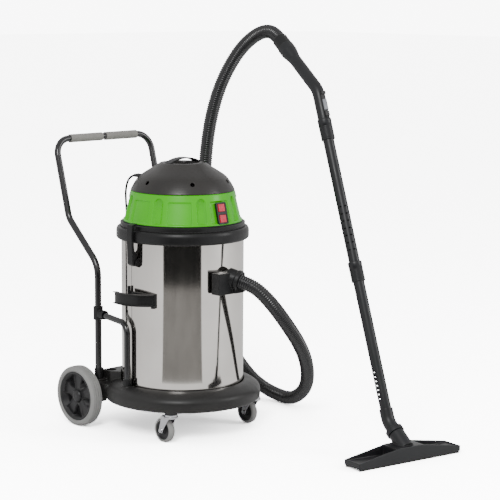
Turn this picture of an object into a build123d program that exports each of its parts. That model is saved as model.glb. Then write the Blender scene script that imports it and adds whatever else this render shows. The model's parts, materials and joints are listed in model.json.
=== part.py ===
from build123d import *

import math
import os

# A two-motor wet and dry vacuum cleaner: a stainless tank on a moulded trolley, a lift-off head, a push
# handle, and a hose with a two-tube wand and a floor tool. Lengths are in millimetres, angles in degrees.
# It is modelled about the tank's axis, with +Z up, the small casters at -Y and the push handle at +Y.

# The middle of the machine's plan, seen from the tank's axis. Every piece is written relative to it.
middle_x, middle_y = 78.2, -212.2

# Tank and collar
tank_r, tank_wall = 200.0, 1.2
tank_base_z, tank_rim_z = 146.0, 661.0
collar_r, collar_z, collar_top_z = 217.0, 633.0, 673.0

# Trolley
deck_r, deck_z, deck_plate_z = 257.0, 102.0, 128.0
pocket_r, lip_z = 203.0, 164.0
block_half, block_rear_y, block_z = 186.0, 194.0, 187.0
shelf_rear_y, shelf_z, wing_x, wing_z = 300.0, 144.0, 221.0, 150.0
shoulder_z, lug_z = 161.0, 84.0
parking_x, parking_y, parking_r = 165.0, 170.0, 17.0
axle_r, axle_y, axle_z, axle_half = 6.0, 237.0, 100.0, 258.0
wheel_r, wheel_width, wheel_in, hub_r = 100.0, 44.0, 224.0, 81.0
caster_x, caster_y, caster_trail, caster_r = 183.0, -150.0, 30.0, 40.0
caster_width, caster_hub_r = 24.0, 31.0

# Push handle and braces
tube_r, tube_wall, handle_x, leg_y = 11.0, 1.5, 205.0, 187.0
bar_y, bar_z = 408.0, 936.0
brace_r, brace_x, brace_y, clamp_z = 10.0, 213.0, 30.0, 380.0

# Head
ring_z, ring_top_z, ring_r, ring_top_r, ring_wall = 691.0, 789.0, 193.8, 169.8, 4.0
dome_r, dome_drop, dome_top_z, dome_wall = 186.0, 75.0, 878.0, 3.5
strap_half, strap_rise, strap_foot, strap_wide = 68.0, 24.0, 14.0, 30.0
flange_r, flange_z, gasket_z = 204.0, 676.0, 673.3
vent_r, vent_z = 7.0, 821.0
motor_x, fan_r, can_r = 76.0, 70.0, 42.0
cage_r, cage_z = 56.0, 566.0
float_r, float_h = 46.0, 42.0
filter_r, filter_z = 92.0, 553.0

# Switches: two rockers in one bezel on the front of the ring, which leans back by the ring's taper.
bezel_w, bezel_h, rocker_w, rocker_h, switch_z, rocker_tilt = 43.0, 70.0, 30.0, 24.0, 728.0, 8.0
taper = math.degrees(math.atan2(ring_r - ring_top_r, ring_top_z - ring_z))

# Inlet: the socket points to the front, a little to the right and down.
socket_turn, socket_dip = 26.0, 15.0
mouth = Vector(22.4, -246, 515)
socket_r, bore_r = 40.0, 25.0

# Latches and accessory holder
latch_w, latch_pivot_z, latch_pivot_x = 26.0, 567.0, 211.0

# Wand: it stands in one upright plane. Plane coordinates are the way along the floor and the height.
tool_x, tool_y, tool_turn = 219.0, -778.0, -9.1
ring_at, corner_at, elbow_top = (36.0, 76.0), (73.9, 104.4), (89.0, 144.0)
bend_at, swivel_at = (460.0, 1116.0), (638.0, 1247.0)
wand_r, wand_wall, sleeve_r, grip_r = 18.0, 1.5, 21.5, 20.0
tool_len, tool_depth, tool_low, tool_high, neck_r = 404.0, 74.0, 24.0, 50.0, 25.5

# Hose and mains lead: middle lines by hand. The last points are the wand's cuff and the floor behind.
hose_r, cord_r = 23.0, 3.75
hose_route = [
    (23.9, -249, 514.1), (43, -286, 502), (69, -314, 470), (106, -329, 424), (157, -330, 366),
    (220, -317, 302), (284, -289, 235), (343, -245, 163), (394, -187, 103), (434, -120, 57),
    (461, -48, 24.5), (470, 27, 24.5), (463, 93, 42), (439, 139, 84), (401, 160, 142),
    (355, 166, 213), (315, 166, 298), (284, 164, 396), (262, 162, 505), (248, 158, 618),
    (238, 155, 730), (236, 151, 838), (243, 145, 938), (257, 136, 1028), (277, 121, 1110),
    (299, 96, 1180), (318, 61, 1239), (330, 12, 1280), (333, -41, 1299), (329.5, -87.7, 1292),
    (324.9, -116.3, 1270.7),
]
cord_route = [
    (-114, 110, 834), (-121, 121, 829), (-119, 140, 808), (-106, 163, 775), (-84, 187, 735),
    (-62, 210, 690), (-44, 228, 635), (-30, 237, 570), (-14, 244, 490), (2, 254, 400),
    (19, 270, 315), (37, 291, 240), (57, 312, 172), (79, 332, 106), (104, 348, 50),
    (140, 358, 12), (184, 357, 4), (224, 354, 4), (262, 355, 4),
]
coil_x, coil_y, coil_mean_r, coil_w, coil_h, plug_r = 290.0, 432.0, 58.0, 38.0, 30.5, 18.0

to_middle = Location((-middle_x, -middle_y, 0))


def save(piece, name):
    """Label a finished piece and write it relative to the middle of the plan."""
    placed = piece.part.moved(to_middle)
    placed.label = name
    export_step(placed, f"parts/{name}.step")


def bend_radii(route, name):
    """The largest tangent arcs that the runs of a route leave room for."""
    radii = []
    for before, here, after in zip(route, route[1:], route[2:]):
        run_in, run_out = Vector(here) - Vector(before), Vector(after) - Vector(here)
        half_turn = math.radians(run_in.get_angle(run_out) / 2)
        radii.append(0.45 * min(run_in.length, run_out.length) / math.tan(half_turn))
    print(name, "radii", [round(r) for r in radii])
    return radii


def swept_tube(points, radii, outer, inner):
    """A round bar or tube along straight runs joined by tangent arcs."""
    with BuildPart() as tube:
        with BuildLine():
            path = FilletPolyline(*points, radius=radii)
        with BuildSketch(Plane(origin=path @ 0, z_dir=path % 0)):
            Circle(outer)
            if inner:
                Circle(inner, mode=Mode.SUBTRACT)
        sweep()
    return tube


def check_tube(tube, points, radii, r, name):
    """Print how near a cord's volume is to its section times its length."""
    with BuildLine():
        path = FilletPolyline(*points, radius=radii)
    length = path.length
    print(name, "length", round(length), "volume ratio", round(tube.part.volume / (math.pi * r * r * length), 4))


def along(plane_point):
    """A point of the wand's upright plane in space."""
    turn = math.radians(tool_turn)
    return Vector(
        tool_x - plane_point[0] * math.sin(turn), tool_y + plane_point[0] * math.cos(turn), plane_point[1]
    )


def make_deck():
    """Moulded trolley deck: a round bumper ring, a raised rear block and two lugs for axle and handle."""
    with BuildPart() as deck:
        with BuildSketch(Plane.XZ):
            with BuildLine():
                Polyline(
                    (0, deck_plate_z), (0, tank_base_z), (pocket_r, tank_base_z), (pocket_r, lip_z),
                    (pocket_r + 9, lip_z - 1),
                )
                Spline(
                    (pocket_r + 9, lip_z - 1), (240, 152), (deck_r, 126), tangents=[(1, -0.15), (0, -1)]
                )
                Polyline(
                    (deck_r, 126), (deck_r, deck_z + 6), (deck_r - 5, deck_z), (deck_r - 11, deck_z),
                    (deck_r - 11, deck_plate_z), (0, deck_plate_z),
                )
            make_face()
        revolve(axis=Axis.Z)
        with BuildSketch(Plane.XY.offset(deck_plate_z - 8)):
            Polygon(
                (-block_half, 150), (-160, 112), (160, 112), (block_half, 150), (block_half, block_rear_y),
                (-block_half, block_rear_y), align=None,
            )
        extrude(amount=block_z - deck_plate_z + 8)
        with BuildSketch(Plane.XY.offset(deck_plate_z - 8)):
            with Locations((0, (block_rear_y + shelf_rear_y) / 2 - 20)):
                Rectangle(2 * block_half, shelf_rear_y - block_rear_y + 40)
        extrude(amount=shelf_z - deck_plate_z + 8)
        fillet(deck.edges().filter_by(Axis.Z).group_by(Axis.Y)[-1], 40)
        for side in (-1, 1):
            with BuildSketch(Plane.XY.offset(deck_z)):
                Polygon(
                    (side * 150, 110), (side * wing_x, 131), (side * wing_x, 263), (side * 180, 263),
                    align=None,
                )
            extrude(amount=wing_z - deck_z)
            with BuildSketch(Plane.XY.offset(lug_z)):
                with Locations((side * 201, 215)):
                    RectangleRounded(36, 96, 8)
            extrude(amount=shoulder_z - lug_z)
            with BuildSketch(Plane.XY.offset(deck_plate_z)):
                with Locations((side * brace_x, brace_y)):
                    Circle(17)
            extrude(amount=lip_z - deck_plate_z)
            with BuildSketch(Plane.XY.offset(96)):
                with Locations((side * caster_x, caster_y)):
                    Circle(20)
            extrude(amount=deck_plate_z - 94)
        with BuildSketch(Plane.XY.offset(tank_base_z)):
            Circle(pocket_r)
        extrude(amount=block_z - tank_base_z + 1, mode=Mode.SUBTRACT)
        with BuildSketch(Plane.XY.offset(lug_z - 1)):
            for side in (-1, 1):
                with Locations((side * parking_x, parking_y)):
                    Circle(parking_r)
        extrude(amount=block_z, mode=Mode.SUBTRACT)
        with BuildSketch(Plane.XY.offset(tank_base_z + 4)):
            for side in (-1, 1):
                with Locations((side * handle_x, leg_y)):
                    Circle(tube_r + 0.05)
                with Locations((side * brace_x, brace_y)):
                    Circle(brace_r + 0.05)
        extrude(amount=40, mode=Mode.SUBTRACT)
        with BuildSketch(Plane.YZ.offset(-axle_half)):
            with Locations((axle_y, axle_z)):
                Circle(axle_r + 0.05)
        extrude(amount=2 * axle_half, mode=Mode.SUBTRACT)
        with BuildSketch(Plane.XY.offset(90)):
            for side in (-1, 1):
                with Locations((side * caster_x, caster_y)):
                    Circle(6.05)
        extrude(amount=26, mode=Mode.SUBTRACT)
    return deck


def make_axle():
    """Steel rod through both lugs, with a push cap on each end."""
    with BuildPart() as axle:
        with BuildSketch(Plane.YZ.offset(-axle_half)):
            with Locations((axle_y, axle_z)):
                Circle(axle_r)
        extrude(amount=2 * axle_half)
        for side in (-1, 1):
            with BuildSketch(Plane.YZ.offset(side * axle_half)):
                with Locations((axle_y, axle_z)):
                    Circle(13)
            extrude(amount=side * 5)
    return axle


def make_rear_wheel(side):
    """Grey tyre and a black hub with five spokes, each turning about the rear axle."""
    with BuildPart() as tyre:
        with BuildSketch(Plane.XZ.offset(-axle_y)):
            with Locations((side * (wheel_in + wheel_width / 2), axle_z + (wheel_r + hub_r) / 2)):
                RectangleRounded(wheel_width, wheel_r - hub_r, 8)
        revolve(axis=Axis((0, axle_y, axle_z), (1, 0, 0)))
    with BuildPart() as hub:
        with BuildSketch(Plane.YZ.offset(side * (wheel_in + 8))):
            with Locations((axle_y, axle_z)):
                Circle(hub_r - 0.1)
                Circle(hub_r - 7, mode=Mode.SUBTRACT)
        extrude(amount=side * (wheel_width - 16))
        with BuildSketch(Plane.YZ.offset(side * (wheel_in + 16))):
            with Locations((axle_y, axle_z)):
                Circle(hub_r - 6)
        extrude(amount=side * 5)
        with BuildSketch(Plane.YZ.offset(side * (wheel_in + 2))):
            with Locations((axle_y, axle_z)):
                Circle(20)
        extrude(amount=side * (wheel_width - 12.5))
        with BuildSketch(Plane.YZ.offset(side * (wheel_in + 16))):
            with Locations((axle_y, axle_z)):
                with PolarLocations(hub_r / 2, 5, start_angle=90):
                    Rectangle(hub_r - 8, 16)
        extrude(amount=side * (wheel_width - 28))
        with BuildSketch(Plane.YZ.offset(side * wheel_in)):
            with Locations((axle_y, axle_z)):
                Circle(axle_r + 0.06)
        extrude(amount=side * wheel_width, mode=Mode.SUBTRACT)
    return tyre, hub


def make_caster_stems():
    """Top ball race and king pin of each front caster, pressed into the deck."""
    with BuildPart() as stems:
        for side in (-1, 1):
            with BuildSketch(Plane.XY.offset(90.3)):
                with Locations((side * caster_x, caster_y)):
                    Circle(21)
            extrude(amount=5.7)
            with BuildSketch(Plane.XY.offset(80)):
                with Locations((side * caster_x, caster_y)):
                    Circle(6)
            extrude(amount=34)
    return stems


def make_caster(side):
    """Fork, axle pin, tyre and hub of one front caster, trailing to the rear."""
    wheel_y = caster_y + caster_trail
    x = side * caster_x
    with BuildPart() as fork:
        with BuildSketch(Plane.XY.offset(84)):
            with Locations((x, caster_y)):
                Circle(23)
            with Locations((x, caster_y + 10)):
                Rectangle(36, 34)
        extrude(amount=6)
        for leg in (-1, 1):
            with BuildSketch(Plane.YZ.offset(x + leg * 15)):
                Polygon(
                    (caster_y - 12, 90), (caster_y + 27, 90), (wheel_y + 10, caster_r),
                    (wheel_y + 6, caster_r - 8), (wheel_y - 6, caster_r - 8), (wheel_y - 12, caster_r + 6),
                    align=None,
                )
            extrude(amount=leg * 3)
        with BuildSketch(Plane.XY.offset(80)):
            with Locations((x, caster_y)):
                Circle(6.06)
        extrude(amount=12, mode=Mode.SUBTRACT)
        with BuildSketch(Plane.YZ.offset(x - 20)):
            with Locations((wheel_y, caster_r)):
                Circle(4.03)
        extrude(amount=40, mode=Mode.SUBTRACT)
    with BuildPart() as pin:
        with BuildSketch(Plane.YZ.offset(x - 20)):
            with Locations((wheel_y, caster_r)):
                Circle(4)
        extrude(amount=40)
        for leg in (-1, 1):
            with BuildSketch(Plane.YZ.offset(x + leg * 18)):
                with Locations((wheel_y, caster_r)):
                    Circle(6.5)
            extrude(amount=leg * 3.5)
    with BuildPart() as tyre:
        with BuildSketch(Plane.XZ.offset(-wheel_y)):
            with Locations((x, caster_r + (caster_r + caster_hub_r) / 2)):
                RectangleRounded(caster_width, caster_r - caster_hub_r, 4)
        revolve(axis=Axis((x, wheel_y, caster_r), (1, 0, 0)))
    with BuildPart() as hub:
        with BuildSketch(Plane.YZ.offset(x - caster_width / 2 + 2)):
            with Locations((wheel_y, caster_r)):
                Circle(caster_hub_r - 0.1)
        extrude(amount=caster_width - 4)
        with BuildSketch(Plane.YZ.offset(x - 13.5)):
            with Locations((wheel_y, caster_r)):
                Circle(9)
        extrude(amount=27)
        with BuildSketch(Plane.YZ.offset(x - 20)):
            with Locations((wheel_y, caster_r)):
                Circle(4.06)
        extrude(amount=40, mode=Mode.SUBTRACT)
    return fork, pin, tyre, hub


def make_handle_parts():
    """Bent push handle with two grips, the side braces, their clamps and the sockets at all four feet."""
    foot_z = tank_base_z + 4
    left = [(-handle_x, leg_y, foot_z), (-handle_x, leg_y, 538), (-handle_x, 337, 680), (-handle_x, bar_y, bar_z)]
    right = [(-x, y, z) for x, y, z in reversed(left)]
    handle = swept_tube(left + right, [90, 60, 55, 55, 60, 90], tube_r, tube_r - tube_wall)
    grips = []
    for side in (-1, 1):
        with BuildPart() as grip:
            with BuildSketch(Plane.YZ.offset(side * 8)):
                with Locations((bar_y, bar_z)):
                    Circle(tube_r + 3)
                    Circle(tube_r + 0.05, mode=Mode.SUBTRACT)
            extrude(amount=side * 136)
        grips.append(grip)
    braces = []
    for side in (-1, 1):
        points = [
            (side * handle_x, leg_y - tube_r - 9, clamp_z - 3), (side * brace_x, brace_y, clamp_z - 14),
            (side * brace_x, brace_y, foot_z),
        ]
        braces.append(swept_tube(points, [38], brace_r, brace_r - tube_wall))
    with BuildPart() as clamps:
        for side in (-1, 1):
            with BuildSketch(Plane.XY.offset(clamp_z - 22)):
                with Locations((side * handle_x, leg_y)):
                    Circle(tube_r + 5)
            extrude(amount=44)
            with BuildSketch(Plane.XZ.offset(-leg_y + tube_r)):
                with Locations((side * handle_x, clamp_z - 3)):
                    Circle(brace_r + 5)
            extrude(amount=26)
            with BuildSketch(Plane.XY.offset(clamp_z - 30)):
                with Locations((side * handle_x, leg_y)):
                    Circle(tube_r + 0.05)
            extrude(amount=60, mode=Mode.SUBTRACT)
            with BuildSketch(Plane.XZ.offset(-leg_y + tube_r + 7)):
                with Locations((side * (handle_x + 0.3), clamp_z - 3.5)):
                    Circle(brace_r + 2.4)
            extrude(amount=30, mode=Mode.SUBTRACT)
    with BuildPart() as sockets:
        for side in (-1, 1):
            with BuildSketch(Plane.XY.offset(shoulder_z)):
                with Locations((side * (handle_x - 2), leg_y)):
                    Circle(tube_r + 4)
                with Locations((side * handle_x, leg_y)):
                    Circle(tube_r + 0.05, mode=Mode.SUBTRACT)
            extrude(amount=34)
            with BuildSketch(Plane.XY.offset(lip_z)):
                with Locations((side * brace_x, brace_y)):
                    Circle(brace_r + 4)
                    Circle(brace_r + 0.05, mode=Mode.SUBTRACT)
            extrude(amount=20)
    return handle, grips, braces, clamps, sockets


def socket_plane(reach):
    """The plane across the inlet socket, reach beyond its mouth."""
    turn, dip = math.radians(socket_turn), math.radians(socket_dip)
    way = Vector(math.sin(turn) * math.cos(dip), -math.cos(turn) * math.cos(dip), -math.sin(dip))
    return Plane(origin=mouth + way * reach, x_dir=(math.cos(turn), math.sin(turn), 0), z_dir=way)


def make_tank():
    """Open stainless drum with a rolled rim, a rounded foot and the inlet hole."""
    with BuildPart() as tank:
        with BuildSketch(Plane.XZ):
            with BuildLine():
                Polyline(
                    (0, tank_base_z), (tank_r - 12, tank_base_z), (tank_r, tank_base_z + 12),
                    (tank_r, tank_rim_z), (tank_r - 6, tank_rim_z), (tank_r - 6, tank_rim_z - 4),
                    (tank_r - tank_wall, tank_rim_z - 4), (tank_r - tank_wall, tank_base_z + 13),
                    (tank_r - 13, tank_base_z + tank_wall), (0, tank_base_z + tank_wall), (0, tank_base_z),
                )
            make_face()
        revolve(axis=Axis.Z)
        with BuildSketch(socket_plane(0)):
            Circle(bore_r + 3)
        extrude(amount=-110, mode=Mode.SUBTRACT)
    with BuildPart() as collar:
        with BuildSketch(Plane.XZ):
            Polygon(
                (tank_r + 0.1, collar_z), (collar_r - 3, collar_z), (collar_r, collar_z + 4),
                (collar_r, collar_top_z - 6), (collar_r - 6, collar_top_z), (tank_r - 6, collar_top_z),
                (tank_r - 6, tank_rim_z), (tank_r + 0.1, tank_rim_z), align=None,
            )
        revolve(axis=Axis.Z)
    return tank, collar


def make_inlet():
    """Inlet block hugging the tank, its round badge, the deflector inside and the hose's locking cuff."""
    with BuildPart() as block:
        with BuildSketch(Plane.XZ.offset(150)):
            with Locations((-9, 516)):
                RectangleRounded(102, 84, 12)
        extrude(amount=74)
        with BuildSketch(Plane.XZ.offset(150)):
            with Locations((10.5, 516)):
                RectangleRounded(63, 84, 12)
        extrude(amount=88)
        with BuildSketch(socket_plane(0)):
            Circle(socket_r)
        extrude(amount=-60)
        with BuildSketch(Plane.XY.offset(440)):
            Circle(tank_r + 0.1)
        extrude(amount=150, mode=Mode.SUBTRACT)
        with BuildSketch(socket_plane(30)):
            Circle(bore_r)
        extrude(amount=-150, mode=Mode.SUBTRACT)
        with BuildSketch(Plane.XZ.offset(222)):
            with Locations((-33, 506)):
                Circle(11.1)
        extrude(amount=10, mode=Mode.SUBTRACT)
    with BuildPart() as badge:
        with BuildSketch(Plane.XZ.offset(222.1)):
            with Locations((-33, 506)):
                Circle(11)
        extrude(amount=4.5)
    with BuildPart() as deflector:
        with BuildSketch(Plane.XY.offset(470)):
            with Locations((0, -170)):
                Rectangle(96, 44)
        extrude(amount=92)
        with BuildSketch(Plane.XY.offset(460)):
            Circle(400)
            Circle(tank_r - tank_wall - 0.1, mode=Mode.SUBTRACT)
        extrude(amount=110, mode=Mode.SUBTRACT)
        with BuildSketch(Plane.XY.offset(460)):
            with Locations((0, -180)):
                Rectangle(91, 59)
        extrude(amount=99.5, mode=Mode.SUBTRACT)
    with BuildPart() as cuff:
        with BuildSketch(socket_plane(-34)):
            Circle(bore_r - 0.3)
            Circle(bore_r - 3, mode=Mode.SUBTRACT)
        extrude(amount=37.5)
    return block, badge, deflector, cuff


def make_latch(side):
    """Draw latch over the collar, hinged low on the tank."""
    x = side * latch_pivot_x
    with BuildPart() as lever:
        with BuildSketch(Plane.XZ.offset(-latch_w / 2)):
            Polygon(
                (x - side * 5, 561), (x + side * 4, 559), (x + side * 14, 566), (x + side * 18, 660),
                (x + side * 15, 692), (x - side * 5, 696), (x - side * 5, 690), (x + side * 5, 688),
                (x + side * 7.5, 678), (x + side * 7.5, 626), (x + side * 5, 608), (x - side * 5, 600),
                align=None,
            )
        extrude(amount=latch_w)
        with BuildSketch(Plane.XZ.offset(-latch_w / 2)):
            with Locations((x, latch_pivot_z)):
                Circle(2.55)
        extrude(amount=latch_w, mode=Mode.SUBTRACT)
    return lever


def make_latch_brackets():
    """Two ears and a pivot pin on the tank for each latch."""
    with BuildPart() as brackets:
        for side in (-1, 1):
            x = side * latch_pivot_x
            for ear in (-1, 1):
                with BuildSketch(Plane.XZ.offset(-ear * (latch_w / 2 + 0.5))):
                    Polygon(
                        (side * (tank_r - 4), 553), (x + side * 5, 560), (x + side * 5, 575),
                        (side * (tank_r - 4), 588), align=None,
                    )
                extrude(amount=-ear * 3.5)
            with BuildSketch(Plane.XZ.offset(-latch_w / 2 - 4)):
                with Locations((x, latch_pivot_z)):
                    Circle(2.5)
            extrude(amount=latch_w + 8)
        with BuildSketch(Plane.XY.offset(540)):
            Circle(tank_r + 0.1)
        extrude(amount=60, mode=Mode.SUBTRACT)
    return brackets


def make_holder():
    """Accessory holder: a back plate and peg on the tank, and an open bowed arm of C section."""
    with BuildPart() as holder:
        for low, height, width in ((435, 38, 3), (435, 2.5, 16), (470.5, 2.5, 16)):
            with BuildSketch(Plane.XY.offset(low)):
                with BuildLine():
                    ThreePointArc((-192, -76), (-243, -8), (-238, 60))
                trace(line_width=width)
            extrude(amount=height)
        with BuildSketch(Plane.XY.offset(435)):
            Circle(tank_r + 4.5)
            with Locations((-200, -24)):
                Rectangle(100, 116, mode=Mode.INTERSECT)
        extrude(amount=38)
        with BuildSketch(Plane.XY.offset(450)):
            with Locations((-204, 30)):
                Circle(5)
        extrude(amount=40)
        with BuildSketch(Plane.XY.offset(428)):
            with Locations((-191, -74)):
                Circle(8)
        extrude(amount=10)
        with BuildSketch(Plane.XY.offset(420)):
            Circle(tank_r + 0.1)
        extrude(amount=80, mode=Mode.SUBTRACT)
    return holder


def make_head():
    """Lift-off head: flange, gasket, green ring, dome with a recessed top and its carrying strap."""
    with BuildPart() as flange:
        with BuildSketch(Plane.XZ):
            Polygon(
                (0, flange_z), (183, flange_z), (183, 656), (187.5, 656), (187.5, flange_z),
                (flange_r, flange_z), (flange_r, 686), (flange_r - 3, 688), (196, 688), (196, ring_z),
                (189, ring_z), (186, flange_z + 6), (0, flange_z + 6), align=None,
            )
        revolve(axis=Axis.Z)
        with BuildSketch(Plane.XY.offset(flange_z - 1)):
            for side in (-1, 1):
                with Locations((side * motor_x, 0)):
                    Circle(18)
            with PolarLocations(126, 4, start_angle=45):
                Circle(2.7)
        extrude(amount=8, mode=Mode.SUBTRACT)
    with BuildPart() as gasket:
        with BuildSketch(Plane.XY.offset(gasket_z)):
            Circle(flange_r - 1)
            Circle(tank_r - 6, mode=Mode.SUBTRACT)
        extrude(amount=flange_z - gasket_z)
    with BuildPart() as ring:
        with BuildSketch(Plane.XZ):
            Polygon(
                (ring_r, ring_z), (ring_top_r, ring_top_z), (ring_top_r - ring_wall, ring_top_z),
                (ring_r - ring_wall, ring_z), align=None,
            )
        revolve(axis=Axis.Z)
        with BuildSketch(switch_plane(-20)):
            Rectangle(38, 64)
        extrude(amount=40, mode=Mode.SUBTRACT)
    dome_centre_z = ring_top_z - dome_drop
    inner_r = dome_r - dome_wall

    def out_at(z, r):
        return math.sqrt(r * r - (z - dome_centre_z) ** 2)

    base, top, top_in = out_at(ring_top_z, dome_r), dome_top_z, dome_top_z - dome_wall
    with BuildPart() as dome:
        with BuildSketch(Plane.XZ):
            with BuildLine():
                ThreePointArc((base, ring_top_z), (out_at(850, dome_r), 850), (out_at(top, dome_r), top))
                Polyline(
                    (out_at(top, dome_r), top), (52, top), (48, 862), (0, 862), (0, 862 - dome_wall),
                    (50.8, 862 - dome_wall), (55.2, top_in), (out_at(top_in, inner_r), top_in),
                )
                ThreePointArc(
                    (out_at(top_in, inner_r), top_in), (out_at(850, inner_r), 850),
                    (out_at(ring_top_z, inner_r), ring_top_z),
                )
                Line((out_at(ring_top_z, inner_r), ring_top_z), (base, ring_top_z))
            make_face()
        revolve(axis=Axis.Z)
        for k in range(6):
            turn, rise = math.radians(60 * k), math.asin((vent_z - dome_centre_z) / dome_r)
            way = Vector(math.cos(turn) * math.cos(rise), math.sin(turn) * math.cos(rise), math.sin(rise))
            with BuildSketch(Plane(origin=(0, 0, dome_centre_z), z_dir=way).offset(dome_r - 12)):
                Circle(vent_r)
            extrude(amount=24, mode=Mode.SUBTRACT)
        with BuildSketch(relief_plane(-40)):
            Circle(7.8)
        extrude(amount=40, mode=Mode.SUBTRACT)
    with BuildPart() as strap:
        inner_half, inner_rise = strap_half - strap_foot, strap_rise - 6
        with BuildSketch(Plane.XZ.offset(-strap_wide / 2)):
            with BuildLine():
                ThreePointArc((-strap_half, top), (0, top + strap_rise), (strap_half, top))
                Line((strap_half, top), (inner_half, top))
                ThreePointArc((inner_half, top), (0, top + inner_rise), (-inner_half, top))
                Line((-inner_half, top), (-strap_half, top))
            make_face()
        extrude(amount=strap_wide)
    return flange, gasket, ring, dome, strap


def switch_plane(out):
    """A plane parallel to the front of the ring at the switches, out beyond its surface."""
    lean = math.radians(taper)
    face_r = ring_r - (switch_z - ring_z) * math.tan(lean)
    way = Vector(0, -math.cos(lean), math.sin(lean))
    return Plane(origin=Vector(0, -face_r, switch_z) + way * out, x_dir=(1, 0, 0), z_dir=way)


def relief_plane(reach):
    """The plane across the lead's strain relief, reach beyond its tip."""
    tip = Vector(*cord_route[0])
    way = Vector(tip.X, tip.Y, 0).normalized()
    return Plane(origin=tip + way * reach, z_dir=way)


def make_switches():
    """Bezel with two openings, and two rockers that each turn about an upright pin in the bezel."""
    with BuildPart() as bezel:
        with BuildSketch(switch_plane(0.1)):
            RectangleRounded(bezel_w, bezel_h, 5)
        extrude(amount=5)
        with BuildSketch(switch_plane(-10)):
            Rectangle(37.8, 63.8)
        extrude(amount=10.2)
        with BuildSketch(switch_plane(-11)):
            for place in (-17.5, 17.5):
                with Locations((0, place)):
                    Rectangle(rocker_w + 1.2, rocker_h + 0.4)
        extrude(amount=18, mode=Mode.SUBTRACT)
    rockers = []
    for place in (-17.5, 17.5):
        base = switch_plane(4)
        low_end = base.from_local_coords(Vector(0, place - rocker_h / 2, 0))
        across = base.x_dir.rotate(Axis((0, 0, 0), base.y_dir), rocker_tilt)
        with BuildPart() as rocker:
            with BuildSketch(Plane(origin=low_end, x_dir=across, z_dir=base.y_dir)):
                Polygon(
                    (-14.4, 4), (14.4, 4), (14.4, -2.6), (0, -1.2), (-14.4, -2.6), align=None,
                )
            extrude(amount=rocker_h)
        rockers.append(rocker)
    return bezel, rockers


def make_insides():
    """Motors with their fan casings, foam ring, screws, float cage, float and filter basket."""
    motors = []
    for side in (-1, 1):
        with BuildPart() as motor:
            for low, high, r in ((flange_z + 6, 742, fan_r), (742, 820, can_r), (820, 838, 20)):
                with BuildSketch(Plane.XY.offset(low)):
                    with Locations((side * motor_x, 0)):
                        Circle(r)
                extrude(amount=high - low)
            with BuildSketch(Plane.XY.offset(flange_z + 5)):
                with Locations((side * motor_x, 0)):
                    Circle(18)
            extrude(amount=20, mode=Mode.SUBTRACT)
        motors.append(motor)
    with BuildPart() as foam:
        with BuildSketch(Plane.XY.offset(flange_z + 6)):
            Circle(164)
            Circle(150, mode=Mode.SUBTRACT)
        extrude(amount=76)
    with BuildPart() as screws:
        with BuildSketch(Plane.XY.offset(flange_z)):
            with PolarLocations(126, 4, start_angle=45):
                Circle(2.5)
        extrude(amount=18)
        with BuildSketch(Plane.XY.offset(flange_z - 4)):
            with PolarLocations(126, 4, start_angle=45):
                Circle(5)
        extrude(amount=4)
    with BuildPart() as cage:
        with BuildSketch(Plane.XY.offset(cage_z)):
            Circle(cage_r)
        extrude(amount=flange_z - cage_z)
        with BuildSketch(Plane.XY.offset(cage_z + 3)):
            Circle(cage_r - 3)
        extrude(amount=flange_z - cage_z, mode=Mode.SUBTRACT)
        for k in range(4):
            with BuildSketch(Plane.XZ.rotated((0, 0, 90 * k + 45))):
                with Locations((0, 620)):
                    Rectangle(34, 76)
            extrude(amount=cage_r + 5, mode=Mode.SUBTRACT)
    with BuildPart() as ball:
        with BuildSketch(Plane.XY.offset(cage_z + 3.2)):
            Circle(float_r)
        extrude(amount=float_h)
    with BuildPart() as basket:
        with BuildSketch(Plane.XY.offset(filter_z)):
            Circle(filter_r)
        extrude(amount=flange_z - filter_z)
        with BuildSketch(Plane.XY.offset(filter_z + 4)):
            Circle(filter_r - 8)
        extrude(amount=flange_z - filter_z, mode=Mode.SUBTRACT)
    return motors, foam, screws, cage, ball, basket


def wand_plane(distance):
    """The plane across the wand, a distance up its axis from the elbow's top."""
    foot, knee = along(elbow_top), along(bend_at)
    way = (knee - foot).normalized()
    return Plane(origin=foot + way * distance, z_dir=way)


def swivel_plane(distance):
    """The plane across the handle's upper end, a distance beyond it towards the hose."""
    way = (along(swivel_at) - along(bend_at)).normalized()
    return Plane(origin=along(swivel_at) + way * distance, z_dir=way)


def neck_plane(distance):
    """The plane across the floor tool's neck, a distance above its top."""
    way = (along(corner_at) - along(ring_at)).normalized()
    return Plane(origin=along(ring_at) + way * distance, z_dir=way)


def bar(plane, length, r):
    """A round length added to the part being built."""
    with BuildSketch(plane) as disc:
        Circle(r)
    extrude(disc.sketch, amount=length)


def bore(plane, length, r):
    """A round length cut from the part being built."""
    with BuildSketch(plane) as disc:
        Circle(r)
    extrude(disc.sketch, amount=length, mode=Mode.SUBTRACT)


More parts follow.
